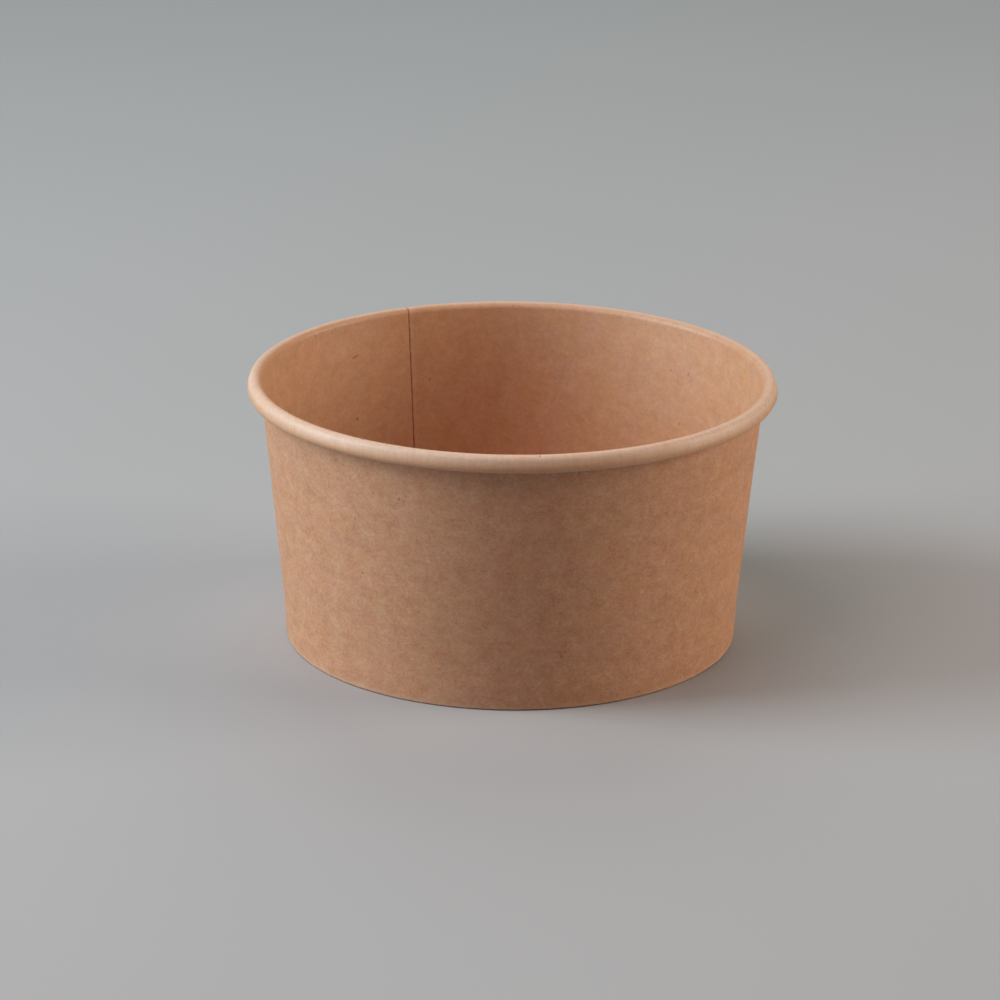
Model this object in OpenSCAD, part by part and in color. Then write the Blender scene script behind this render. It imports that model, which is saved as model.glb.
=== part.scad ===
// Paper salad bowl: a conical side wall wrapped from one blank of kraft board, with a rolled rim,
// a glued side lap and a turned-in hem, and a flanged bottom disc that the hem holds.
// The bowl stands on its foot at z = 0, and its axis is the Z axis.

/* [Bowl] */
// Diameter over the rolled rim
rim_d = 150; // [144:0.5:180]
// Height from the foot to the crown of the rim
bowl_h = 76.5; // [45:0.5:120]
// Diameter over the folded foot
foot_d = 129.2; // [105:0.1:136]
// Height of the bottom disc's upper face above the foot
floor_z = 10; // [6:0.5:16]

/* [Board] */
// Thickness of the coated board
board_t = 0.4; // [0.3:0.01:0.5]
// Gap left for the glue between two plies
glue_t = 0.03; // [0.02:0.01:0.08]

/* [Rolled rim] */
// Width of the roll across its crown
roll_w = 3.75; // [3.5:0.05:5.5]
// Length of the straight flank between the crown and the lower curl
roll_flank = 1.4; // [0.6:0.1:2]
// How far the flank leans outward on its way down, in degrees
flank_lean = 17; // [0:1:25]
// Gap left between the curl and the double wall of the lap
roll_gap = 0.06; // [0.04:0.01:0.3]
// How far the edge tucked up inside the roll ends below the crown's centre
tuck_drop = 0.1; // [0:0.05:0.4]

/* [Foot] */
// How far the pressed foot stands out from the wall's own cone
foot_flare = 0.5; // [0.1:0.05:0.8]
// How far the pressed band reaches above the bottom disc
band_rise = 1.5; // [1:0.1:6]
// Radius of the gentle knee between the band and the wall
knee_r = 30; // [10:1:60]
// Inside radius of the two corners of the fold
fold_r = 0.08; // [0.04:0.01:0.12]
// Gap between the hem's cut edge and the underside of the disc
hem_gap = 1.3; // [0.8:0.1:3]

/* [Bottom disc] */
// Outside radius of the bend from the disc to its skirt
disc_bend_r = 0.9; // [0.6:0.1:1.2]
// Gap between the skirt's lower edge and the bottom of the fold
skirt_gap = 0.3; // [0.1:0.1:2]

/* [Side seam] */
// Direction of the inner ply's cut edge, in degrees from the X axis
seam_az = 116.1; // [0:0.1:360]
// Width of the overlap, measured round the rim
lap_w = 9; // [6:0.5:14]
// Width over which the outer ply steps out to lie on the inner one
ramp_w = 6; // [3:0.5:9]
// Step that is left at the cut edge where the rim is rolled
rim_step = 0.1; // [0.05:0.01:0.25]

/* [Hidden] */
$fn = 180;

wall_colour = [0.73, 0.54, 0.38];
disc_colour = [0.69, 0.49, 0.34];
// Straight pieces in each bend of the section, and lengths of the ramp
fold_steps = 5;
knee_steps = 3;
crown_steps = 18;
curl_steps = 20;
ramp_steps = 4;

// Unit vectors up a leg of the section that leans outward by an angle, and square to it
function up(lean) = [sin(lean), cos(lean)];
function out(lean) = [cos(lean), -sin(lean)];
function arc(centre, radius, from, to, steps) =
    [for (i = [0 : steps]) let (a = from + (to - from) * i / steps) centre + radius * [cos(a), sin(a)]];
function reverse(list) = [for (i = [len(list) - 1 : -1 : 0]) list[i]];
// Lean of a leg that covers the way v and keeps a centre at one of its ends at a distance
function leg_lean(v, distance) = atan2(v[0], v[1]) - asin(distance / norm(v));
// Angle round the axis that a width takes up at the rim
function rim_angle(width) = width / (rim_d / 2) * 180 / PI;

// The roll: a crown, a flank and a curl that runs back up beside the wall.
// The wall rises from the cone's base to touch the crown, so its lean follows from both.
crown_r = roll_w / 2;
cone_base = [foot_d / 2 - foot_flare, 0];
function crown_centre(curl) = [
    rim_d / 2 - curl + (curl - crown_r) * cos(flank_lean) - roll_flank * sin(flank_lean),
    bowl_h - crown_r
];
function lean_to(crown) = leg_lean(crown - cone_base, crown_r - board_t);
function curl_radius(turn) = crown_r - (2 * board_t + roll_gap - roll_flank * sin(turn)) / (1 + cos(turn));
curl_r = curl_radius(flank_lean + lean_to(crown_centre(crown_r)));
crown_c = crown_centre(curl_r);
wall_lean = lean_to(crown_c);
curl_c = crown_c + (crown_r - curl_r) * up(90 - flank_lean) + roll_flank * out(90 - flank_lean);
roll_h = crown_c[1] - curl_c[1] + curl_r;
tuck_len = (crown_c[1] - curl_c[1] - tuck_drop) / cos(wall_lean);

// The pressed band: it leaves the wall's cone at a knee and stands steeper, down to the fold
fold_outer_r = fold_r + board_t;
fold_out = [foot_d / 2, 0] + fold_outer_r * [-1, 1];
knee = cone_base + (floor_z + band_rise) / cos(wall_lean) * up(wall_lean);
band_lean = leg_lean(knee - fold_out, fold_outer_r);
knee_c = knee + (knee_r - board_t) / cos((wall_lean - band_lean) / 2) * out((wall_lean + band_lean) / 2);

// The fold: two corners round the skirt of the disc, and the hem back up inside
fold_t = board_t + 2 * glue_t;
fold_in = fold_out - [(fold_t - 2 * fold_r) / cos(band_lean), 0];
hem_len = (floor_z - board_t - hem_gap - fold_outer_r) / cos(band_lean);

// One line along the board, from the hem's cut edge to the edge tucked in the roll. Its offset from
// the face that touches the food is given for the fold, for the wall and for the roll.
function face_line(at_fold, at_wall, at_roll) = concat(
    [fold_in - (fold_r + at_fold) * out(band_lean) + hem_len * up(band_lean)],
    arc(fold_in, fold_r + at_fold, 180 - band_lean, 270, fold_steps),
    arc(fold_out, fold_r + at_fold, 270, 360 - band_lean, fold_steps),
    arc(knee_c, knee_r - at_wall, 180 - band_lean, 180 - wall_lean, knee_steps),
    [crown_c - (crown_r - at_wall) * out(wall_lean) - roll_h * up(wall_lean)],
    arc(crown_c, crown_r - at_roll, 180 - wall_lean, flank_lean, crown_steps),
    arc(curl_c, curl_r - at_roll, flank_lean, -180 - wall_lean, curl_steps),
    [curl_c - (curl_r - at_roll) * out(wall_lean) + tuck_len * up(wall_lean)]
);

// A length of the wrapped board between two of its lines
module ply(from, to, inner, outer) {
    rotate_extrude(angle = to - from, start = from)
        polygon(concat(inner, reverse(outer)));
}

// Faces of a strip through sections of 2 * m points, m on its inner line and m on its outer line
function strip_faces(m, steps) = concat(
    [for (s = [0 : steps - 1]) for (j = [0 : m - 2])
        let (p = 2 * m * s + j, q = p + 2 * m) [p, q, q + 1, p + 1]],
    [for (s = [0 : steps - 1]) for (j = [0 : m - 2])
        let (p = 2 * m * s + m + j, q = p + 2 * m) [p, p + 1, q + 1, q]],
    [for (s = [0 : steps - 1]) for (j = [0, m - 1])
        let (p = 2 * m * s + j, q = p + 2 * m) j == 0 ? [p, p + m, q + m, q] : [p, q, q + m, p + m]],
    [for (s = [0, steps]) for (j = [0 : m - 2])
        let (p = 2 * m * s + j) s == 0 ? [p, p + 1, p + m + 1, p + m] : [p, p + m, p + m + 1, p + 1]]
);

// The outer ply's way out from the wall's own line to its place over the inner ply.
// The fold and the hem are pressed flush, and the roll nearly so.
module ramp() {
    ramp_a = rim_angle(ramp_w);
    sections = [for (s = [0 : ramp_steps]) let (x = s / ramp_steps, ease = x * x * (3 - 2 * x))
        concat(
            face_line(0, board_t * ease, rim_step * ease),
            face_line(board_t, board_t * (1 + ease), board_t + rim_step * ease)
        )];
    points = [for (s = [0 : ramp_steps]) let (a = ramp_a * (s / ramp_steps - 1))
        for (p = sections[s]) [p[0] * cos(a), p[0] * sin(a), p[1]]];
    polyhedron(points, strip_faces(len(sections[0]) / 2, ramp_steps), convexity = 6);
}

// The wrapped wall: one ply all round up to the ramp, and a second one over the lap
module sidewall() {
    color(wall_colour) rotate([0, 0, seam_az]) {
        ply(0, 360 - rim_angle(ramp_w), face_line(0, 0, 0), face_line(board_t, board_t, board_t));
        ply(0, rim_angle(lap_w), face_line(board_t / 2, board_t / 2, board_t / 2),
            face_line(board_t, 2 * board_t, 2 * board_t));
        ramp();
    }
}

// The disc, with its skirt turned down between the wall and the hem
skirt_foot = fold_out + (fold_r - glue_t) * out(band_lean);
bend_z = floor_z - disc_bend_r;
bend_c = skirt_foot + (bend_z - skirt_foot[1]) / cos(band_lean) * up(band_lean)
    - disc_bend_r * out(band_lean) - [0, disc_bend_r * sin(band_lean)];
skirt_len = (bend_c[1] - board_t - skirt_gap) / cos(band_lean);

module bottom_disc() {
    inner_r = disc_bend_r - board_t;
    section = concat(
        [[0, floor_z]],
        arc(bend_c, disc_bend_r, 90, -band_lean, fold_steps),
        [bend_c + disc_bend_r * out(band_lean) - skirt_len * up(band_lean)],
        [bend_c + inner_r * out(band_lean) - skirt_len * up(band_lean)],
        arc(bend_c, inner_r, -band_lean, 90, fold_steps),
        [[0, floor_z - board_t]]
    );
    color(disc_colour) rotate_extrude() polygon(section);
}

sidewall();
bottom_disc();
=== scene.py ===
# %% [markdown]
# # A kraft-board salad bowl
#
# The bowl is made the way a paper cup is made. A fan-shaped blank of brown board is wrapped into a
# cone and glued along a side lap. A round blank closes the bottom. The wall's lower edge is folded
# in and up to hold it, and the upper edge is rolled outward into a hollow rim.
#
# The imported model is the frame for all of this: it says where the two pieces are and how big they
# are. Everything is in metres, with the foot at z = 0 and the bowl's axis on Z.

# %% The frame
import math

import bmesh
import bpy
from mathutils import Matrix, Quaternion, Vector, noise


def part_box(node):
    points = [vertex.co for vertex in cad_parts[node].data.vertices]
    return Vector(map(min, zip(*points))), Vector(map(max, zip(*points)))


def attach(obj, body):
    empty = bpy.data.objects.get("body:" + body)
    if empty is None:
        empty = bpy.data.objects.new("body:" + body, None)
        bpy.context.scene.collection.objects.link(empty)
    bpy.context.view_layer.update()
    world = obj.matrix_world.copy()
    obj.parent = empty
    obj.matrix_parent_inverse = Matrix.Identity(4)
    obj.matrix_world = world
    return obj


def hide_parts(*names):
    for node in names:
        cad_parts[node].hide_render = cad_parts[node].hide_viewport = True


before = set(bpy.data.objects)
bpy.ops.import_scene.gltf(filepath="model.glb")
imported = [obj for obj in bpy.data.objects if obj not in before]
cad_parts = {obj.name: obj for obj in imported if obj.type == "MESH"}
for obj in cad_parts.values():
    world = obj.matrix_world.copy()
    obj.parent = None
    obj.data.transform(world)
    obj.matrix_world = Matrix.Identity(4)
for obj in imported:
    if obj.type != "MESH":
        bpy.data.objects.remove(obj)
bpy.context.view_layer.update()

MM = 0.001
wall_low, wall_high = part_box("sidewall")
disc_low, disc_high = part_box("bottom_disc")
print("wall", [round(side / MM, 1) for side in wall_high - wall_low], "mm")
print("disc", [round(side / MM, 1) for side in disc_high - disc_low], "mm")

# %% [markdown]
# ## The camera
#
# The bowl was photographed with a long lens from a little above the rim, so its two ellipses are
# nearly alike. The camera was worked out from them: a point on the axis that it looks at, how far
# off it stands, how high it stands and how much it is tilted. A few named values hold it, and a
# quaternion turns them into a view: it is easier to read than a matrix of nine numbers.

# %% The camera
LENS = 135.83
SENSOR_WIDTH = 36
FARTHEST = 100
CAMERA_DISTANCE = 1.07988
CAMERA_HEIGHT = math.radians(19.211)
CAMERA_ROLL = math.radians(0.511)
LOOK_AT = Vector((-3.25, 0, 38.51)) * MM

backward = Vector((0, -math.cos(CAMERA_HEIGHT), math.sin(CAMERA_HEIGHT)))
camera_data = bpy.data.cameras.new("camera")
camera_data.lens = LENS
camera_data.sensor_width = SENSOR_WIDTH
camera_data.clip_end = FARTHEST
camera = bpy.data.objects.new("camera", camera_data)
camera.location = LOOK_AT + CAMERA_DISTANCE * backward
camera.rotation_mode = "QUATERNION"
camera.rotation_quaternion = backward.to_track_quat("Z", "Y") @ Quaternion((0, 0, 1), CAMERA_ROLL)
bpy.context.scene.collection.objects.link(camera)
bpy.context.scene.camera = camera
print("camera at", [round(value, 3) for value in camera.location])

# %% [markdown]
# ## The board's line in section
#
# Cut the bowl along its axis and the wall is one line of board: a hem, a fold round the bottom's
# skirt, a pressed band, the straight wall, and a roll with a crown, a leaning flank and a curl
# whose edge is tucked up inside. The overall sizes come from the frame. The board, the roll and
# the foot have values of their own, in millimetres as a cup maker gives them.

# %% Sizes of the board, the roll and the foot
RIM_RADIUS = wall_high.x
TOP = wall_high.z
FLOOR = disc_high.z
BOARD = 0.4 * MM
GLUE = 0.03 * MM

ROLL_WIDTH = 3.75 * MM
ROLL_FLANK = 1.4 * MM
FLANK_LEAN = math.radians(17)
ROLL_GAP = 0.06 * MM
TUCK_DROP = 0.1 * MM

FOOT_RADIUS = 64.6 * MM
FOOT_FLARE = 0.5 * MM
BAND_RISE = 1.5 * MM
KNEE_RADIUS = 30 * MM
FOLD_RADIUS = 0.08 * MM
HEM_GAP = 1.3 * MM

DISC_BEND = 0.9 * MM
SKIRT_GAP = 0.3 * MM

# %% [markdown]
# The bends aren't free. The wall rises from the cone's base and has to run into the crown without a
# corner, so its lean follows from where the crown is. The curl has to leave room beside the wall for
# both plies of the lap, so its radius follows from the roll's width and flank. The fold is as wide
# as the skirt that it holds. All of it is worked out here once, so a changed size moves the rest.


# %% Where the bends of the section are
def up(lean):
    """Unit vector up a leg of the section that leans outward by an angle."""
    return Vector((math.sin(lean), 0, math.cos(lean)))


def out(lean):
    """Unit vector out of a leg that leans outward by an angle, square to it."""
    return Vector((math.cos(lean), 0, -math.sin(lean)))


def leg_lean(way, distance):
    """Lean of a leg that covers the way and keeps a centre at one of its ends at a distance."""
    return math.atan2(way.x, way.z) - math.asin(distance / way.length)


crown_radius = ROLL_WIDTH / 2
cone_base = Vector((FOOT_RADIUS - FOOT_FLARE, 0, 0))


def crown_centre(curl):
    """Centre of the crown's arc, when a curl of this radius below it reaches out to the rim."""
    reach = (curl - crown_radius) * math.cos(FLANK_LEAN) - ROLL_FLANK * math.sin(FLANK_LEAN)
    return Vector((RIM_RADIUS - curl + reach, 0, TOP - crown_radius))


def wall_lean_to(centre):
    """Lean of a wall that runs from the cone's base smoothly into a crown with this centre."""
    return leg_lean(centre - cone_base, crown_radius - BOARD)


turn_under = FLANK_LEAN + wall_lean_to(crown_centre(crown_radius))
room = 2 * BOARD + ROLL_GAP - ROLL_FLANK * math.sin(turn_under)
curl_radius = crown_radius - room / (1 + math.cos(turn_under))
crown = crown_centre(curl_radius)
wall_lean = wall_lean_to(crown)
flank_out = Vector((math.cos(FLANK_LEAN), 0, math.sin(FLANK_LEAN)))
flank_down = Vector((math.sin(FLANK_LEAN), 0, -math.cos(FLANK_LEAN)))
curl = crown + (crown_radius - curl_radius) * flank_out + ROLL_FLANK * flank_down
roll_height = crown.z - curl.z + curl_radius
tuck_length = (crown.z - curl.z - TUCK_DROP) / math.cos(wall_lean)

fold_outer = FOLD_RADIUS + BOARD
fold_out = Vector((FOOT_RADIUS - fold_outer, 0, fold_outer))
knee = cone_base + (FLOOR + BAND_RISE) / math.cos(wall_lean) * up(wall_lean)
band_lean = leg_lean(knee - fold_out, fold_outer)
half_turn = (wall_lean - band_lean) / 2
knee_centre = knee + (KNEE_RADIUS - BOARD) / math.cos(half_turn) * out(band_lean + half_turn)

skirt_room = (BOARD + 2 * GLUE - 2 * FOLD_RADIUS) / math.cos(band_lean)
fold_in = fold_out - Vector((skirt_room, 0, 0))
hem_length = (FLOOR - BOARD - HEM_GAP - fold_outer) / math.cos(band_lean)
print("wall leans", round(math.degrees(wall_lean), 2), "degrees, curl radius", round(curl_radius / MM, 2))

# %% [markdown]
# ## A pen that draws board
#
# The section could be typed in as a long list of points, but then no one could change it. Here it
# is drawn with a pen instead. The pen is a short edge across the board's thickness. The spin
# operator slides it for a straight stretch, or turns it about a centre for a bend, and leaves a
# ladder of small faces behind. Because the edge turns as a whole, the board keeps its thickness.
#
# Each point also remembers a few things for later: which side of the board it is on, how far along
# the board it lies, how much of a board's thickness it steps out where the lap lies below it, how
# much it belongs to the roll, how pale the roll is painted there, and which way is across the board.
# That paleness is partly the stretch of rolling and partly a painted highlight on the crown and
# painted shade down the flank. How far it lies beside a cut edge is noted when the lap is made.


# %% The pen
FOOD_SIDE = 0
OTHER_SIDE = 1


def new_board_mesh():
    """An empty mesh whose points can hold the notes."""
    mesh = bmesh.new()
    mesh.verts.layers.int.new("outside")
    for name in ("along", "step", "rolled", "stretched", "beside_cut"):
        mesh.verts.layers.float.new(name)
    mesh.verts.layers.float_vector.new("across")
    return mesh


class BoardPen:
    """Draws a board's section as a ladder whose rungs run from its food side to its other side."""

    def __init__(self, mesh, corner, across):
        layers = mesh.verts.layers
        self.mesh = mesh
        self.outside = layers.int["outside"]
        self.along = layers.float["along"]
        self.step = layers.float["step"]
        self.rolled = layers.float["rolled"]
        self.stretched = layers.float["stretched"]
        self.across = layers.float_vector["across"]
        food = mesh.verts.new(corner)
        other = mesh.verts.new(corner + across)
        other[self.outside] = OTHER_SIDE
        self.rung = [food, other]
        mesh.edges.new(self.rung)
        self.note(along=0, food_step=0, other_step=0, rolled=0, stretched=0)

    def note(self, along, food_step, other_step, rolled, stretched):
        """Writes values on both points of the rung, and the direction from one to the other."""
        direction = (self.rung[1].co - self.rung[0].co).normalized()
        for vert, step in zip(self.rung, (food_step, other_step)):
            vert[self.along] = along
            vert[self.step] = step
            vert[self.rolled] = rolled
            vert[self.stretched] = stretched
            vert[self.across] = direction

    def draw(self, steps, length, changes, **motion):
        """Moves the rung on in equal steps. The values that it notes change evenly on the way."""
        food, other = self.rung
        along, rolled, stretched = food[self.along], food[self.rolled], food[self.stretched]
        both_steps = (food[self.step], other[self.step])
        start = [along, *both_steps, rolled, stretched]
        end = [
            along + length,
            *changes.get("step", both_steps),
            changes.get("rolled", rolled),
            changes.get("stretched", stretched),
        ]
        for number in range(1, steps + 1):
            edge = self.mesh.edges.get(self.rung)
            made = bmesh.ops.spin(self.mesh, geom=[*self.rung, edge], axis=(0, -1, 0), steps=1, **motion)
            ends = [item for item in made["geom_last"] if isinstance(item, bmesh.types.BMVert)]
            self.rung = sorted(ends, key=lambda vert: vert[self.outside])
            self.note(*[a + (b - a) * number / steps for a, b in zip(start, end)])

    def straight(self, length, steps=1, **changes):
        """Slides the rung straight on, square to itself."""
        across = self.rung[0][self.across]
        forward = Vector((-across.z, 0, across.x))
        self.draw(steps, length, changes, dvec=forward * length / steps)

    def bend(self, radius, turn, steps, **changes):
        """Turns the rung about a centre at a radius from the food side's face.

        The centre lies on the food side if the turn is above 0, and on the other side if below.
        """
        food = self.rung[0]
        centre = food.co - math.copysign(radius, turn) * food[self.across]
        middle = radius + math.copysign(BOARD / 2, turn)
        self.draw(steps, middle * abs(turn), changes, cent=centre, angle=turn / steps)


# %% [markdown]
# ## Drawing the wall from its hem to the roll's tucked edge
#
# Where two plies lie on each other at the lap, the outer one steps out by a board's thickness on
# the wall. The foot is pressed so hard that nothing of the step is left there, and the roll keeps a
# tenth of a millimetre of it. Those shares are given on the way, together with how pale the roll is
# painted: most on the outer half of the crown, and less and less down the flank. That paleness is
# partly the stretch of rolling, and partly a painted highlight on the crown that fades to painted
# shade down the flank.

# %% The wall's section
RIM_STEP = 0.1 * MM
QUARTER = math.pi / 2

wall_mesh = new_board_mesh()
hem_top = fold_in - FOLD_RADIUS * out(band_lean) + hem_length * up(band_lean)
band_foot = fold_out + FOLD_RADIUS * out(band_lean)
knee_start = knee_centre - KNEE_RADIUS * out(band_lean)
knee_end = knee_centre - KNEE_RADIUS * out(wall_lean)
crown_start = crown - crown_radius * out(wall_lean)
inner_turn = (wall_lean - QUARTER) / 2
outer_turn = (FLANK_LEAN - QUARTER) / 3

pen = BoardPen(wall_mesh, hem_top, -BOARD * out(band_lean))
pen.straight(hem_length, steps=4)
pen.bend(FOLD_RADIUS, QUARTER + band_lean, steps=7)
pen.straight(skirt_room)
pen.bend(FOLD_RADIUS, QUARTER - band_lean, steps=7)
pen.straight((knee_start - band_foot).length, steps=6, step=(1, 1))
pen.bend(KNEE_RADIUS, band_lean - wall_lean, steps=5)
along_knee = pen.rung[0][pen.along]
pen.straight((crown_start - knee_end).length - roll_height, steps=24)
pen.straight(roll_height, steps=4, step=(RIM_STEP / BOARD, 1), rolled=0.3)
# The pale share given from here on is the stretch of rolling plus painted highlight and shade on the
# roll.
pen.bend(crown_radius, inner_turn, steps=6, rolled=0.7, stretched=0.05)
pen.bend(crown_radius, inner_turn, steps=6, rolled=1, stretched=0.55)
pen.bend(crown_radius, outer_turn, steps=4, stretched=0.95)
pen.bend(crown_radius, outer_turn * 2, steps=8, stretched=1)
pen.straight(ROLL_FLANK, steps=5, stretched=0.05)
pen.bend(curl_radius, -math.pi - FLANK_LEAN - wall_lean, steps=28, stretched=0)
pen.straight(tuck_length, steps=3)

section_points = [vert.co.copy() for vert in wall_mesh.verts]
print("section reaches", round(max(point.x for point in section_points) / MM, 3), "mm from the axis")
print("board is", round(pen.rung[0][pen.along] / MM, 1), "mm from edge to edge")

# %% [markdown]
# ## Wrapping the board
#
# Spinning the section once round the axis would give a perfect ring, and a real one has a start and
# an end. So the spin is done in five stretches, counted from the inner ply's cut edge: the lap, the
# outer ply's cut edge, the long way round, the ramp on which the outer ply climbs, and the inner
# ply's cut edge. The two cut edges are slivers a few hundredths of a millimetre wide, so that the
# step there stands up straight. Spin closes its two ends with the section's faces. They are taken
# out, and the ends are welded.

# %% Spinning the wall in five stretches
LAP_WIDTH = 9 * MM
RAMP_WIDTH = 6 * MM
CUT_WIDTH = 0.03 * MM
LAP_COLUMNS = 6
RAMP_COLUMNS = 14
BODY_COLUMNS = 270
WELD = 0.002 * MM
FULL_TURN = 2 * math.pi

lap_angle = LAP_WIDTH / RIM_RADIUS
ramp_angle = RAMP_WIDTH / RIM_RADIUS
cut_angle = CUT_WIDTH / RIM_RADIUS
body_angle = FULL_TURN - lap_angle - ramp_angle - 2 * cut_angle


def parts_of(mesh):
    return list(mesh.verts) + list(mesh.edges) + list(mesh.faces)


def spin_round(mesh, stretches):
    """Spins all of a mesh about Z through stretches of (angle, columns), and welds its two ends."""
    first = mesh.faces[:]
    last = parts_of(mesh)
    for angle, columns in stretches:
        made = bmesh.ops.spin(mesh, geom=last, axis=(0, 0, 1), angle=angle, steps=columns)
        last = made["geom_last"]
    ends = first + [item for item in last if isinstance(item, bmesh.types.BMFace)]
    bmesh.ops.delete(mesh, geom=ends, context="FACES_ONLY")
    bmesh.ops.remove_doubles(mesh, verts=mesh.verts[:], dist=WELD)
    loose = [edge for edge in mesh.edges if not edge.link_faces]
    bmesh.ops.delete(mesh, geom=loose, context="EDGES")
    bmesh.ops.recalc_face_normals(mesh, faces=mesh.faces[:])
    open_edges = sum(not edge.is_manifold for edge in mesh.edges)
    print(len(mesh.faces), "faces,", open_edges, "open edges,", round(mesh.calc_volume() / MM**3), "mm3")


spin_round(
    wall_mesh,
    [
        (lap_angle, LAP_COLUMNS),
        (cut_angle, 1),
        (body_angle, BODY_COLUMNS),
        (ramp_angle, RAMP_COLUMNS),
        (cut_angle, 1),
    ],
)

# %% [markdown]
# ## The lap
#
# Now each point is pushed across the board by its share of the step. On the food side only the ramp
# moves: it sinks away from the inner ply's cut edge, which leaves the thin line that runs down
# inside the bowl. On the other side the step carries on over the lap, to the outer ply's cut edge.
# Each point also notes how far it lies beside the cut edge, for the dark line of glue and painted
# shadow that is painted there, and the painted highlight beside it.

# %% Stepping the outer ply over the inner one
FAR_FROM_CUT = 10


def ease(x):
    """Rises gently from 0 to 1 while x does, and is level outside of that."""
    x = min(1, max(0, x))
    return x * x * (3 - 2 * x)


def angle_of(point):
    """Angle round the axis from the inner ply's cut edge, from 0 to a full turn."""
    angle = math.atan2(point.y, point.x) % FULL_TURN
    return 0.0 if FULL_TURN - angle < cut_angle / 4 else angle


def lap_height(angle, outside):
    """How far out of the way the board is pushed at an angle, as a share of the full step."""
    if angle > FULL_TURN - ramp_angle - cut_angle:
        return ease(1 - (FULL_TURN - cut_angle - angle) / ramp_angle)
    return 1.0 if outside and angle < lap_angle + cut_angle / 2 else 0.0


def distance_beside(angle, outside):
    """Millimetres from a point to the cut edge that shows on its side, or FAR_FROM_CUT at most."""
    turn = angle - lap_angle if outside else FULL_TURN - angle
    return min(FAR_FROM_CUT, turn * RIM_RADIUS / MM) if turn >= 0 else FAR_FROM_CUT


def push_lap(mesh):
    """Pushes each point across the board by its share of the step."""
    layers = mesh.verts.layers
    outside, step, across = layers.int["outside"], layers.float["step"], layers.float_vector["across"]
    beside = layers.float["beside_cut"]
    moved = 0
    for vert in mesh.verts:
        angle = angle_of(vert.co)
        vert[beside] = distance_beside(angle, vert[outside])
        height = BOARD * vert[step] * lap_height(angle, vert[outside])
        if height > 0:
            vert.co += Matrix.Rotation(angle, 3, "Z") @ vert[across] * height
            moved += 1
    print(moved, "points make the lap")


push_lap(wall_mesh)

# %% [markdown]
# ## The blank's own coordinates
#
# Paper has a grain, and on a wrapped bowl it runs the way it ran on the flat sheet. A cone unrolls
# into a fan, so every point of the wall has a place on that fan: its distance from the tip of the
# cone, and its angle round the axis times the sine of the wall's lean. That place goes into a UV
# map, in metres. A pattern on it bends round the roll and breaks at the lap, as the real one does.
# The faces are sorted first by what they show: the food side, the other side or a cut edge.

# %% Unrolling the wall on to its blank
SIDES_APART = 300 * MM
CUT_EDGE = 2

tip_distance = knee_end.x / math.sin(wall_lean)


def blank_place(along, angle):
    """Where a point of the wall lies on the flat blank."""
    distance = tip_distance + along - along_knee
    turned = (angle - math.pi) * math.sin(wall_lean)
    return Vector((distance * math.sin(turned), distance * math.cos(turned) - tip_distance))


def sort_faces(mesh, is_cut):
    """Gives each face the material of its side of the board, or of a cut edge."""
    outside = mesh.verts.layers.int["outside"]
    for face in mesh.faces:
        sides = {vert[outside] for vert in face.verts}
        face.material_index = CUT_EDGE if len(sides) == 2 or is_cut(face, sides) else sides.pop()
        face.smooth = True
    for edge in mesh.edges:
        edge.smooth = len({face.material_index for face in edge.link_faces}) == 1


def is_side_cut(face, sides):
    """True on the slivers at the ends of the wrapped blank."""
    angle = angle_of(face.calc_center_median())
    at = FULL_TURN - cut_angle / 2 if FOOD_SIDE in sides else lap_angle + cut_angle / 2
    return abs(angle - at) < cut_angle / 2


def unroll(mesh):
    """Writes each corner's place on the flat blank into a UV map, the other side's apart."""
    layers = mesh.verts.layers
    along, outside = layers.float["along"], layers.int["outside"]
    blank = mesh.loops.layers.uv.new("blank")
    for face in mesh.faces:
        middle = angle_of(face.calc_center_median())
        second_time = face.material_index == OTHER_SIDE and middle < lap_angle
        for loop in face.loops:
            angle = angle_of(loop.vert.co)
            if angle == 0.0 and middle > math.pi:
                angle = FULL_TURN
            if second_time:
                angle += FULL_TURN
            place = blank_place(loop.vert[along], angle)
            if loop.vert[outside]:
                place = Vector((-place.x, place.y + SIDES_APART))
            loop[blank].uv = place


sort_faces(wall_mesh, is_side_cut)
unroll(wall_mesh)
print("blank's inner edge lies", round((tip_distance - along_knee) / MM, 1), "mm from the fan's tip")

# %% [markdown]
# ## Not quite round
#
# Board springs back a little after it is formed, so a real wall has soft flats and swellings of
# about a tenth of a millimetre, and the roll wavers by half as much. They are too small to see as
# shape, but light that falls along the wall shows them. Smooth noise moves the points, and the
# pressed foot is left alone. Blender moves its vector noise to a random place at each start, so a
# seed is set first, and the bowl comes out the same every time.

# %% Springy board
WALL_WAVE = 0.16 * MM
WALL_WAVE_SIZE = 34 * MM
ROLL_WAVE = 0.07 * MM
ROLL_WAVE_SIZE = 7 * MM
WAVES_START = FLOOR + BAND_RISE
WAVES_FULL = 0.5 * TOP
NOISE_SEED = 1


def add_waves(mesh):
    """Moves the wall in and out, and the roll only inward and down, so that its box isn't left."""
    rolled = mesh.verts.layers.float["rolled"]
    for vert in mesh.verts:
        outward = Vector((vert.co.x, vert.co.y, 0)).normalized()
        grow = ease((vert.co.z - WAVES_START) / (WAVES_FULL - WAVES_START))
        wave = WALL_WAVE * grow * (1 - vert[rolled]) * noise.noise(vert.co / WALL_WAVE_SIZE)
        ripple = noise.noise_vector(outward * RIM_RADIUS / ROLL_WAVE_SIZE) - Vector((1, 1, 1))
        ripple *= ROLL_WAVE / 2 * vert[rolled]
        vert.co += outward * (wave + ripple.x) + Vector((0, 0, ripple.y))


noise.seed_set(NOISE_SEED)
add_waves(wall_mesh)
print("rim stands", round(max(vert.co.z for vert in wall_mesh.verts) / MM, 2), "mm high")

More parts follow.
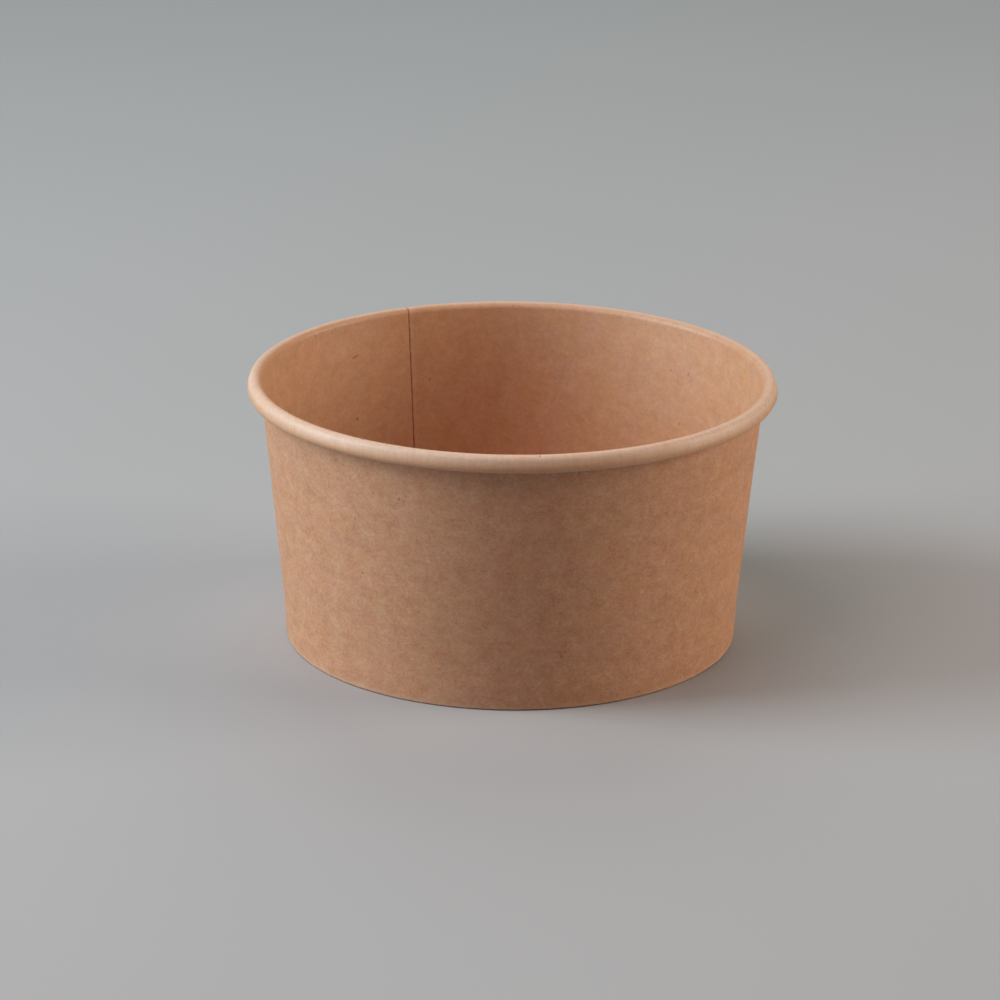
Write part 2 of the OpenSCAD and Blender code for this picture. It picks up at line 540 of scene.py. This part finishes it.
# %% [markdown]
# ## From bmesh to piece
#
# The seam isn't at the angle where the drawing started, so the finished mesh is turned to its place
# before it becomes an object. The object itself stays unturned at the origin, as the CAD nodes do.

# %% Turning the wall to its place
SEAM_ANGLE = math.radians(116.1)


def make_piece(name, mesh, node):
    """Makes an object of a bmesh. It stands for a CAD node and rides on the one body."""
    data = bpy.data.meshes.new(name)
    mesh.to_mesh(data)
    mesh.free()
    piece = bpy.data.objects.new(name, data)
    bpy.context.scene.collection.objects.link(piece)
    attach(piece, "root")
    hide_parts(node)
    print(name, "has", len(data.polygons), "faces")
    return piece


bmesh.ops.rotate(wall_mesh, verts=wall_mesh.verts[:], matrix=Matrix.Rotation(SEAM_ANGLE, 3, "Z"))
wrapped_wall = make_piece("wrapped_wall", wall_mesh, "sidewall")

# %% [markdown]
# ## The bottom disc
#
# The bottom is a round blank with its edge turned down. The same pen draws it from the centre
# outward, round the bend and down the skirt, and one full spin makes it a disc. The pen's first
# rung stands on the axis, so the weld there closes the middle to a point.

# %% The bottom disc
DISC_COLUMNS = 256

skirt_face = fold_out + (FOLD_RADIUS - GLUE) * out(band_lean)
bend_height = FLOOR - DISC_BEND
bend = skirt_face + (bend_height - skirt_face.z) / math.cos(band_lean) * up(band_lean)
bend -= DISC_BEND * (out(band_lean) + Vector((0, 0, math.sin(band_lean))))
skirt_length = (bend.z - BOARD - SKIRT_GAP) / math.cos(band_lean)

disc_mesh = new_board_mesh()
pen = BoardPen(disc_mesh, Vector((0, 0, FLOOR)), Vector((0, 0, -BOARD)))
pen.straight(bend.x, steps=26)
pen.bend(DISC_BEND, -QUARTER - band_lean, steps=10)
pen.straight(skirt_length, steps=6)
print("disc's blank is", round(2 * pen.rung[0][pen.along] / MM, 1), "mm across")
spin_round(disc_mesh, [(FULL_TURN, DISC_COLUMNS)])
sort_faces(disc_mesh, lambda face, sides: False)

# %% [markdown]
# The disc bows a little, by smooth noise that dies away toward its edge. It was a flat sheet, so
# its pattern needs only the distance along the board and the direction. It has no side cut, and
# each of its points has to say so, or the dark line of a cut would cover it.

# %% Grain and spring of the disc
DISC_WAVE = 0.25 * MM
DISC_WAVE_SIZE = 40 * MM
DISC_FLAT_EDGE = 8 * MM


def finish_disc(mesh):
    """Bows the disc slightly, and gives it a flat sheet's coordinates."""
    layers = mesh.verts.layers
    along, outside = layers.float["along"], layers.int["outside"]
    blank = mesh.loops.layers.uv.new("blank")
    for vert in mesh.verts:
        vert[layers.float["beside_cut"]] = FAR_FROM_CUT
        inward = bend.x - Vector((vert.co.x, vert.co.y)).length
        vert.co.z += DISC_WAVE * ease(inward / DISC_FLAT_EDGE) * noise.noise(vert.co / DISC_WAVE_SIZE)
    for face in mesh.faces:
        for loop in face.loops:
            flat = Vector((loop.vert.co.x, loop.vert.co.y))
            place = flat.normalized() * loop.vert[along] if flat.length > WELD else flat
            loop[blank].uv = place + Vector((0, SIDES_APART * (2 + loop.vert[outside])))


finish_disc(disc_mesh)
bottom = make_piece("bottom", disc_mesh, "bottom_disc")

# %% [markdown]
# ## Building shaders in code
#
# The helpers below add a node and fill its inputs. A plain value sets a socket, and another node's
# output makes a link, so a shader reads like a list of steps. All patterns work in millimetres.


# %% Helpers for nodes
def srgb(red, green, blue):
    """A colour written as on a screen, from 0 to 255, as the linear colour that a shader takes."""
    shares = [value / 255 for value in (red, green, blue)]
    return [s / 12.92 if s <= 0.04045 else ((s + 0.055) / 1.055) ** 2.4 for s in shares] + [1]


def fill(tree, node, inputs):
    """Sets or links a node's inputs from a dictionary of socket names or numbers."""
    for name, value in inputs.items():
        if isinstance(value, bpy.types.NodeSocket):
            tree.links.new(value, node.inputs[name])
        else:
            node.inputs[name].default_value = value
    return node


def add(tree, kind, inputs, **settings):
    """Adds a node, fills it and returns its outputs."""
    node = tree.nodes.new(kind)
    for name, value in settings.items():
        setattr(node, name, value)
    return fill(tree, node, inputs).outputs


def maths(tree, operation, a, b=0.0):
    return add(tree, "ShaderNodeMath", {0: a, 1: b}, operation=operation)[0]


def vector_maths(tree, operation, a, b=(0, 0, 0)):
    return add(tree, "ShaderNodeVectorMath", {0: a, 1: b}, operation=operation)


def weighted(tree, *terms):
    """The sum of (value, weight) pairs."""
    total = 0.0
    for value, weight in terms:
        inputs = {0: value, 1: weight, 2: total}
        total = add(tree, "ShaderNodeMath", inputs, operation="MULTIPLY_ADD")[0]
    return total


def blend(tree, factor, a, b, kind="MIX"):
    """Mixes two colours."""
    return add(tree, "ShaderNodeMix", {0: factor, 6: a, 7: b}, data_type="RGBA", blend_type=kind)[2]


def spread(tree, value, low, high, new_low=0.0, new_high=1.0, soft=False):
    """Maps a value from one range to another, and stops at the ends."""
    inputs = {"Value": value, "From Min": low, "From Max": high, "To Min": new_low, "To Max": new_high}
    way = "SMOOTHSTEP" if soft else "LINEAR"
    return add(tree, "ShaderNodeMapRange", inputs, interpolation_type=way)[0]


def noise_2d(tree, place, scale, detail=2.0, roughness=0.55, output="Fac"):
    inputs = {"Vector": place, "Scale": scale, "Detail": detail, "Roughness": roughness}
    return add(tree, "ShaderNodeTexNoise", inputs, noise_dimensions="2D")[output]


def uneven(tree, place, **settings):
    """A factor between 0.75 and 1.25 that changes softly from place to place."""
    patches = noise_2d(tree, place, **settings)
    return spread(tree, patches, low=0.3, high=0.7, new_low=0.75, new_high=1.25)


def new_group(name, inputs, outputs):
    """Starts a node group with named sockets. Returns its tree, its inputs and its outputs."""
    tree = bpy.data.node_groups.new(name, "ShaderNodeTree")
    for label, (kind, value) in inputs.items():
        socket = tree.interface.new_socket(label, in_out="INPUT", socket_type="NodeSocket" + kind)
        if value is not None:
            socket.default_value = value
    for label, kind in outputs.items():
        tree.interface.new_socket(label, in_out="OUTPUT", socket_type="NodeSocket" + kind)
    return tree, tree.nodes.new("NodeGroupInput").outputs, tree.nodes.new("NodeGroupOutput").inputs


def use(tree, group, inputs):
    """Places a node group in a shader. Inputs that aren't given keep the group's own values."""
    node = tree.nodes.new("ShaderNodeGroup")
    node.node_tree = group
    return fill(tree, node, inputs).outputs


def tell(group):
    print(group.name, "is made of", len(group.nodes), "nodes")


# %% [markdown]
# ## Fibres
#
# Kraft board is a felt of wood fibres a few hundredths of a millimetre thick. What shows of them at
# arm's length is a fine grain of short threads that lie mostly across the blank and partly any way.
# Noise drawn out to threads gives one direction, and four of them together give the felt. Each
# layer has a turn in radians and a weight, and is shifted so that no two use the same noise.


# %% Fibre grain
THREAD_LAYERS = [(0.10, 0.34), (0.95, 0.22), (-0.80, 0.22), (1.60, 0.22)]
LAYER_SHIFT = 17.3


def make_fibre_group():
    inputs = {"Place": ("Vector", None), "Width": ("Float", 0.48), "Length": ("Float", 1.1)}
    tree, given, result = new_group("fibres", inputs, {"Grain": "Float"})
    size = add(tree, "ShaderNodeCombineXYZ", {"X": given["Length"], "Y": given["Width"], "Z": 1.0})[0]
    layers = []
    for number, (turn, weight) in enumerate(THREAD_LAYERS):
        shift = (LAYER_SHIFT * number, 0, 0)
        mapping = {"Vector": given["Place"], "Rotation": (0, 0, turn), "Location": shift}
        turned = add(tree, "ShaderNodeMapping", mapping)[0]
        threads = vector_maths(tree, "DIVIDE", turned, size)[0]
        layers.append((noise_2d(tree, threads, scale=1.0, detail=1.0), weight))
    tree.links.new(spread(tree, weighted(tree, *layers), low=0.36, high=0.64), result["Grain"])
    return tree


fibres = make_fibre_group()
tell(fibres)

# %% [markdown]
# ## Clouds in the pulp
#
# The pulp isn't stirred evenly, and its clouds come in every width from a few millimetres down to
# the fibres, with about the same strength. So a noise with almost five octaves of nearly equal
# weight makes them, a quarter longer across the blank than up it, the way the board ran through the
# mill. Darker pulp is also redder: blue falls off faster than green, and green faster than red.
# Raising the tone to a power of its own for each channel does that. A second noise, about twice as
# wide, adds patches of redness and of yellowness that don't follow the tone.

# %% Clouds
RED_POWER = 0.58
GREEN_POWER = 1.1
BLUE_POWER = 1.42
DARKEST_LEVEL = 0.1
NOISE_MEAN = 0.5
CLOUD_SQUEEZE = (0.8, 1.0, 1.0)
HUE_SCALE = 0.45


def make_pulp_group():
    inputs = {
        "Place": ("Vector", None),
        "Size": ("Float", 4.6),
        "Tone": ("Float", 1.0),
        "Redness": ("Float", 0.22),
        "Yellowness": ("Float", 0.4),
    }
    tree, given, result = new_group("pulp_clouds", inputs, {"Tint": "Color", "Cloud": "Float"})
    per_mm = maths(tree, "DIVIDE", 1.0, given["Size"])
    drawn = vector_maths(tree, "MULTIPLY", given["Place"], CLOUD_SQUEEZE)[0]
    cloud = noise_2d(tree, drawn, scale=per_mm, detail=3.8, roughness=0.97)
    hue_scale = maths(tree, "MULTIPLY", per_mm, HUE_SCALE)
    hues = noise_2d(tree, drawn, scale=hue_scale, detail=5.0, roughness=0.93, output="Color")
    channels = add(tree, "ShaderNodeSeparateColor", {"Color": hues})
    amounts = []
    for value, name in zip((cloud, *channels[1:]), ("Tone", "Redness", "Yellowness")):
        swing = maths(tree, "SUBTRACT", value, NOISE_MEAN)
        amounts.append(maths(tree, "MULTIPLY", swing, given[name]))
    tone, red, yellow = amounts
    level = maths(tree, "MAXIMUM", maths(tree, "ADD", tone, 1.0), DARKEST_LEVEL)
    tint = {
        "Red": maths(tree, "ADD", maths(tree, "POWER", level, RED_POWER), red),
        "Green": maths(tree, "POWER", level, GREEN_POWER),
        "Blue": maths(tree, "SUBTRACT", maths(tree, "POWER", level, BLUE_POWER), yellow),
    }
    tree.links.new(add(tree, "ShaderNodeCombineColor", tint)[0], result["Tint"])
    tree.links.new(cloud, result["Cloud"])
    return tree


pulp_clouds = make_pulp_group()
tell(pulp_clouds)

# %% [markdown]
# ## Specks of bark
#
# Unbleached pulp still holds bits of bark. A Voronoi texture scatters them, one to a cell, and the
# cell's own colour decides how large and how dark each is, so that only a few stand out.

# %% Specks
SPECK_SQUEEZE = (1.0, 0.6, 1.0)


def make_speck_group():
    inputs = {"Place": ("Vector", None), "Spacing": ("Float", 8.0), "Size": ("Float", 0.55)}
    tree, given, result = new_group("bark_specks", inputs, {"Speck": "Float"})
    per_mm = maths(tree, "DIVIDE", 1.0, given["Spacing"])
    drawn = vector_maths(tree, "MULTIPLY", given["Place"], SPECK_SQUEEZE)[0]
    scatter = {"Vector": drawn, "Scale": per_mm, "Randomness": 1.0}
    cells = add(tree, "ShaderNodeTexVoronoi", scatter, voronoi_dimensions="2D")
    lots = add(tree, "ShaderNodeSeparateColor", {"Color": cells["Color"]})
    reach = maths(tree, "MULTIPLY", maths(tree, "MULTIPLY", given["Size"], per_mm), lots["Red"])
    near = maths(tree, "DIVIDE", cells["Distance"], reach)
    dark = maths(tree, "POWER", lots["Green"], 2.0)
    speck = maths(tree, "MULTIPLY", spread(tree, near, low=1.0, high=0.4, soft=True), dark)
    tree.links.new(speck, result["Speck"])
    return tree


specks = make_speck_group()
tell(specks)

# %% [markdown]
# ## Single marks
#
# This bowl also has a few marks of its own: a short scuff and two dots inside, some flecks outside
# and on the rim. Each is a small ellipse at a point, drawn out along a direction. The group gives a
# mask of it from the object's coordinates, so a mark stays where it is on the bowl.


# %% A mark at a point
def squared(tree, value):
    return maths(tree, "POWER", value, 2)


def make_mark_group():
    inputs = {
        "Place": ("Vector", None),
        "Centre": ("Vector", None),
        "Direction": ("Vector", None),
        "Length": ("Float", 1.0),
        "Width": ("Float", 0.3),
    }
    tree, given, result = new_group("single_mark", inputs, {"Mark": "Float"})
    way = vector_maths(tree, "SUBTRACT", given["Place"], given["Centre"])[0]
    distance = vector_maths(tree, "LENGTH", way)["Value"]
    along = vector_maths(tree, "DOT_PRODUCT", way, given["Direction"])["Value"]
    rest = maths(tree, "SUBTRACT", squared(tree, distance), squared(tree, along))
    side = maths(tree, "SQRT", maths(tree, "MAXIMUM", rest, 0.0))
    u = maths(tree, "DIVIDE", maths(tree, "ABSOLUTE", along), given["Length"])
    v = maths(tree, "DIVIDE", side, given["Width"])
    reach = maths(tree, "SQRT", maths(tree, "ADD", squared(tree, u), squared(tree, v)))
    tree.links.new(spread(tree, reach, low=0.5, high=0.25, soft=True), result["Mark"])
    return tree


single_mark = make_mark_group()
tell(single_mark)

# %% [markdown]
# ## The rolled rim
#
# Rolling stretches the board, so the rim is paler than the wall, and it is finely wrinkled across.
# The pale colour also holds a painted highlight on the crown, which fades to painted shade down the
# flank. The group takes what the pen noted on each point. It gives a mask for the paler colour, a
# factor that paints the wrinkles' light and shade into the colour, and their height. They are drawn
# on the blank and so run square to the rim.

# %% Wrinkles, wear and painted light of the roll
WRINKLE_LENGTH = 9.0
PALE_EVERYWHERE = 0.9
PALE_WHERE_WORN = 0.2


def make_roll_group():
    inputs = {
        "Place": ("Vector", None),
        "Rolled": ("Float", 0.0),
        "Stretch and painted light": ("Float", 0.0),
        "Wrinkle": ("Float", 0.5),
        "Contrast": ("Float", 0.07),
    }
    outputs = {"Pale": "Float", "Shade": "Float", "Height": "Float"}
    tree, given, result = new_group("stretched_roll", inputs, outputs)
    size = {"X": given["Wrinkle"], "Y": WRINKLE_LENGTH, "Z": 1.0}
    drawn = vector_maths(tree, "DIVIDE", given["Place"], add(tree, "ShaderNodeCombineXYZ", size)[0])[0]
    wrinkle = spread(tree, noise_2d(tree, drawn, scale=1.0), low=0.3, high=0.7)
    patches = noise_2d(tree, given["Place"], scale=0.35, detail=4.0, roughness=0.7)
    worn = spread(tree, patches, low=0.35, high=0.7)
    pale = weighted(tree, (worn, PALE_WHERE_WORN), (1.0, PALE_EVERYWHERE))
    tree.links.new(maths(tree, "MULTIPLY", pale, given["Stretch and painted light"]), result["Pale"])
    depth = maths(tree, "MULTIPLY", given["Contrast"], given["Rolled"])
    change = maths(tree, "MULTIPLY", maths(tree, "SUBTRACT", wrinkle, NOISE_MEAN), depth)
    tree.links.new(maths(tree, "ADD", change, 1.0), result["Shade"])
    tree.links.new(maths(tree, "MULTIPLY", wrinkle, given["Rolled"]), result["Height"])
    return tree


stretched_roll = make_roll_group()
tell(stretched_roll)

# %% [markdown]
# ## The dark line beside a cut edge
#
# Where one ply ends on the other, a thin dark line is painted: partly the glue in the corner, and
# partly a painted shadow in the gap beside the cut edge's step. Beside it a pale band is painted, a
# painted highlight where the outer ply's ramp catches the light. The mesh knows how far each point
# lies beside the cut, and the group turns that into a line of uneven width and the painted highlight.


# %% Cut line
def make_cut_group():
    inputs = {"Place": ("Vector", None), "Beside": ("Float", FAR_FROM_CUT), "Width": ("Float", 0.66)}
    tree, given, result = new_group("cut_line", inputs, {"Line": "Float", "Ramp highlight": "Float"})
    width = maths(tree, "MULTIPLY", given["Width"], uneven(tree, given["Place"], scale=0.5, detail=3.0))
    share = maths(tree, "DIVIDE", given["Beside"], width)
    tree.links.new(spread(tree, share, low=1.2, high=0.4, soft=True), result["Line"])
    past_line = spread(tree, share, low=0.9, high=1.5)
    near_line = spread(tree, share, low=3.2, high=1.8, soft=True)
    tree.links.new(maths(tree, "MULTIPLY", past_line, near_line), result["Ramp highlight"])
    return tree


cut_line = make_cut_group()
tell(cut_line)

# %% [markdown]
# ## The edge that the bowl stands on
#
# The fold at the foot gets a painted highlight where it bends out to the side and catches the light,
# and painted shade underneath, where it meets the table. Both fade out at an uneven height, in
# millimetres.


# %% Foot edge
def make_foot_group():
    inputs = {"Place": ("Vector", None), "Position": ("Vector", None)}
    tree, given, result = new_group("foot_edge", inputs, {"Fold highlight": "Float", "Contact shade": "Float"})
    above = add(tree, "ShaderNodeSeparateXYZ", {"Vector": given["Position"]})["Z"]
    factor = uneven(tree, given["Place"], scale=0.3, detail=4.0, roughness=0.7)
    height = maths(tree, "DIVIDE", above, factor)
    tree.links.new(spread(tree, height, low=0.55, high=0.2, soft=True), result["Contact shade"])
    tree.links.new(spread(tree, height, low=1.9, high=0.6, soft=True), result["Fold highlight"])
    return tree


foot_edge = make_foot_group()
tell(foot_edge)

# %% [markdown]
# ## Kraft board
#
# One function makes every face of the board from a few values. The food side has a thin clear lining
# with a faint sheen, the outside is bare and duller, and the cut edges are rough. Colour, roughness
# and relief all come from the same grain, as they do in paper.
#
# Each single mark has a centre, a direction, a length, a width and a strength. Places and lengths
# are in millimetres.

# %% Colours and marks
BARE_KRAFT = srgb(191, 137, 103)
LINED_KRAFT = srgb(195, 146, 112)
PALE_KRAFT = srgb(213, 177, 153)
CUT_KRAFT = srgb(176, 132, 98)
BARK = srgb(92, 58, 38)
GLUE_AND_SHADE_DARK = srgb(134, 77, 52)

LINED_MARKS = {
    "scuff": ((-46.6, 52.1, 64.9), (0.73, 0.67, 0.14), 3.6, 0.9, 0.42),
    "dot": ((-46.0, 50.2, 46.2), (0, 0, 1), 1.5, 1.3, 0.5),
    "small dot": ((47.2, 51.2, 62.0), (0, 0, 1), 1.0, 0.8, 0.4),
    "rim speck": ((-40.1, -60.9, 76.4), (1, 0, 0), 1.0, 0.8, 0.4),
    "rim fleck": ((7.2, -73.1, 76.4), (0, 1, 0), 1.4, 0.6, 0.7),
}
BARE_MARKS = {
    "fleck": ((-42.5, -54.5, 51.9), (0, 0, 1), 1.4, 0.5, 0.6),
    "lower fleck": ((-40.6, -54.0, 35.9), (0, 0, 1), 0.9, 0.6, 0.6),
    "hair": ((-40.4, -54.3, 36.9), (0.3, -0.2, 0.93), 1.3, 0.35, 0.3),
}
print("marks:", ", ".join([*LINED_MARKS, *BARE_MARKS]))


# %% Two helpers for paint
def noted(tree, name):
    """What each point of the mesh notes under a name."""
    return add(tree, "ShaderNodeAttribute", {}, attribute_name=name)["Fac"]


def paint(tree, shade, mask, strength, colour):
    """Lays a colour over a shade, as far as a mask and a strength let it."""
    return blend(tree, maths(tree, "MULTIPLY", mask, strength), shade, colour)


# %% Board material
IN_MM = (1 / MM, 1 / MM, 1 / MM)
TINT_LOST_IN_ROLL = 0.5
SPECK_STRENGTH = 0.45
RAMP_HIGHLIGHT_STRENGTH = 0.25
FOLD_HIGHLIGHT_STRENGTH = 0.3
CONTACT_SHADE_STRENGTH = 0.85
SHEEN_SPREAD = 0.07
CLOUD_RELIEF = 2
WRINKLE_RELIEF = 0.5


def kraft_material(name, colour, roughness, clouds, grain, relief, marks):
    """Clouds are inputs of their group, grain is a share of the colour, relief is in millimetres."""
    material = bpy.data.materials.new(name)
    material.use_nodes = True
    tree = material.node_tree

    blank = add(tree, "ShaderNodeUVMap", {}, uv_map="blank")[0]
    place = vector_maths(tree, "MULTIPLY", blank, IN_MM)[0]
    position = add(tree, "ShaderNodeTexCoord", {})["Object"]
    position = vector_maths(tree, "MULTIPLY", position, IN_MM)[0]
    rolled = noted(tree, "rolled")
    unrolled = weighted(tree, (rolled, -TINT_LOST_IN_ROLL), (1.0, 1.0))
    on_roll = {"Rolled": rolled, "Stretch and painted light": noted(tree, "stretched")}

    threads = use(tree, fibres, {"Place": place})["Grain"]
    pulp = use(tree, pulp_clouds, {"Place": place, **clouds})
    roll = use(tree, stretched_roll, {"Place": place, **on_roll})
    cut = use(tree, cut_line, {"Place": place, "Beside": noted(tree, "beside_cut")})
    foot = use(tree, foot_edge, {"Place": place, "Position": position})
    speck = use(tree, specks, {"Place": place})["Speck"]

    # The rim's pale colour: the stretch of rolling, a painted highlight on the crown, painted shade down
    # the flank.
    shade = blend(tree, roll["Pale"], colour, PALE_KRAFT)
    shade = blend(tree, unrolled, shade, pulp["Tint"], "MULTIPLY")
    # The roll's wrinkles, painted as light and shade.
    shade = blend(tree, 1.0, shade, roll["Shade"], "MULTIPLY")
    shade = blend(tree, 1.0, shade, spread(tree, threads, 0.0, 1.0, 1 - grain, 1 + grain), "MULTIPLY")
    shade = paint(tree, shade, speck, SPECK_STRENGTH, BARK)
    for centre, direction, length, width, strength in marks.values():
        ellipse = {"Centre": centre, "Direction": direction, "Length": length, "Width": width}
        mark = use(tree, single_mark, {"Place": position, **ellipse})["Mark"]
        shade = paint(tree, shade, mark, strength, BARK)
    # Painted highlight on the ramp beside the cut, then the cut's line of glue and painted shadow.
    shade = paint(tree, shade, cut["Ramp highlight"], RAMP_HIGHLIGHT_STRENGTH, PALE_KRAFT)
    shade = paint(tree, shade, cut["Line"], unrolled, GLUE_AND_SHADE_DARK)
    # The foot's painted highlight on its outer bend, and painted shade under it where it meets the table.
    shade = paint(tree, shade, foot["Fold highlight"], FOLD_HIGHLIGHT_STRENGTH, PALE_KRAFT)
    shade = paint(tree, shade, foot["Contact shade"], CONTACT_SHADE_STRENGTH, GLUE_AND_SHADE_DARK)

    height = weighted(
        tree,
        (threads, relief),
        (pulp["Cloud"], relief * CLOUD_RELIEF),
        (roll["Height"], relief * WRINKLE_RELIEF),
    )
    dull, shiny = roughness + SHEEN_SPREAD, roughness - SHEEN_SPREAD
    look = {
        "Base Color": shade,
        "Roughness": spread(tree, threads, 0.0, 1.0, dull, shiny),
        "Normal": add(tree, "ShaderNodeBump", {"Height": height, "Distance": MM})[0],
    }
    fill(tree, tree.nodes["Principled BSDF"], look)
    return material


# %% [markdown]
# ## Three finishes of one board
#
# The food side's pulp shows evenly through its lining. The bare side is cloudier, and its grain can
# be felt. A cut edge is the roughest, because the knife lays the fibres' ends open. Both pieces carry
# all three, in the order of the sides that their faces were sorted by.

# %% The three materials
EVEN_PULP = {"Tone": 0.65, "Yellowness": 0.6}
CLOUDY_PULP = {"Tone": 0.92, "Yellowness": 0.5}
FINISHES = {
    "lined_kraft": {
        "colour": LINED_KRAFT,
        "roughness": 0.5,
        "clouds": EVEN_PULP,
        "grain": 0.035,
        "relief": 0.012,
        "marks": LINED_MARKS,
    },
    "bare_kraft": {
        "colour": BARE_KRAFT,
        "roughness": 0.72,
        "clouds": CLOUDY_PULP,
        "grain": 0.09,
        "relief": 0.02,
        "marks": BARE_MARKS,
    },
    "cut_kraft": {
        "colour": CUT_KRAFT,
        "roughness": 0.85,
        "clouds": EVEN_PULP,
        "grain": 0.16,
        "relief": 0.03,
        "marks": {},
    },
}

for name, finish in FINISHES.items():
    material = kraft_material(name, **finish)
    for piece in (wrapped_wall, bottom):
        piece.data.materials.append(material)
print("materials", [slot.name for slot in wrapped_wall.material_slots])

# %% [markdown]
# ## Floor and light
#
# The bowl stands on a plain pale grey surface that runs out of the picture. Four soft boxes stand
# round it: a strong and cool one at the left, a weaker and warmer one at the right, one high in front
# toward the left, and a faint one high behind. A very weak white world stands for the room. Large
# boxes near the bowl give soft shadows, as in a studio.

# %% Floor
FLOOR_GREY = srgb(165, 163, 164)
FLOOR_SIZE = 12

floor_mesh = bmesh.new()
bmesh.ops.create_grid(floor_mesh, x_segments=1, y_segments=1, size=FLOOR_SIZE / 2)
floor_data = bpy.data.meshes.new("floor")
floor_mesh.to_mesh(floor_data)
floor_mesh.free()
floor = bpy.data.objects.new("floor", floor_data)
bpy.context.scene.collection.objects.link(floor)

floor_paint = bpy.data.materials.new("floor_paint")
floor_paint.use_nodes = True
floor_look = {"Base Color": FLOOR_GREY, "Roughness": 0.8, "Specular IOR Level": 0.35}
fill(floor_paint.node_tree, floor_paint.node_tree.nodes["Principled BSDF"], floor_look)
floor.data.materials.append(floor_paint)
print("floor is", FLOOR_SIZE, "m wide")

# %% Lights
LAMP_DISTANCE = 1.6
WHITE = (1, 1, 1, 1)
ROOM_LIGHT = 0.02


def soft_light(name, azimuth, height, size, watts, colour):
    """A soft box that looks at the bowl from an angle round Z and a height, both in degrees."""
    data = bpy.data.lights.new(name, "AREA")
    data.shape = "RECTANGLE"
    data.size, data.size_y = size
    data.energy = watts
    data.color = colour
    lamp = bpy.data.objects.new(name, data)
    azimuth, height = math.radians(azimuth), math.radians(height)
    level = Vector((math.cos(azimuth), math.sin(azimuth), 0))
    way = level * math.cos(height) + Vector((0, 0, math.sin(height)))
    lamp.location = LOOK_AT + LAMP_DISTANCE * way
    lamp.rotation_mode = "QUATERNION"
    lamp.rotation_quaternion = way.to_track_quat("Z", "Y")
    bpy.context.scene.collection.objects.link(lamp)
    print(name, "gives", watts, "W")


soft_light("left_box", azimuth=-175, height=25, size=(0.8, 1.2), watts=28.4, colour=(0.73, 0.93, 1.0))
soft_light("right_box", azimuth=0, height=20, size=(0.9, 0.9), watts=17.9, colour=(1.0, 0.92, 0.78))
soft_light("front_box", azimuth=-150, height=60, size=(1.2, 1.2), watts=14.0, colour=(1.0, 0.82, 0.79))
soft_light("back_box", azimuth=90, height=45, size=(1.2, 1.2), watts=7.2, colour=(0.84, 1.0, 1.0))

world = bpy.data.worlds.new("studio")
world.use_nodes = True
background = world.node_tree.nodes["Background"]
fill(world.node_tree, background, {"Color": WHITE, "Strength": ROOM_LIGHT})
bpy.context.scene.world = world
bpy.context.scene.view_settings.view_transform = "Standard"
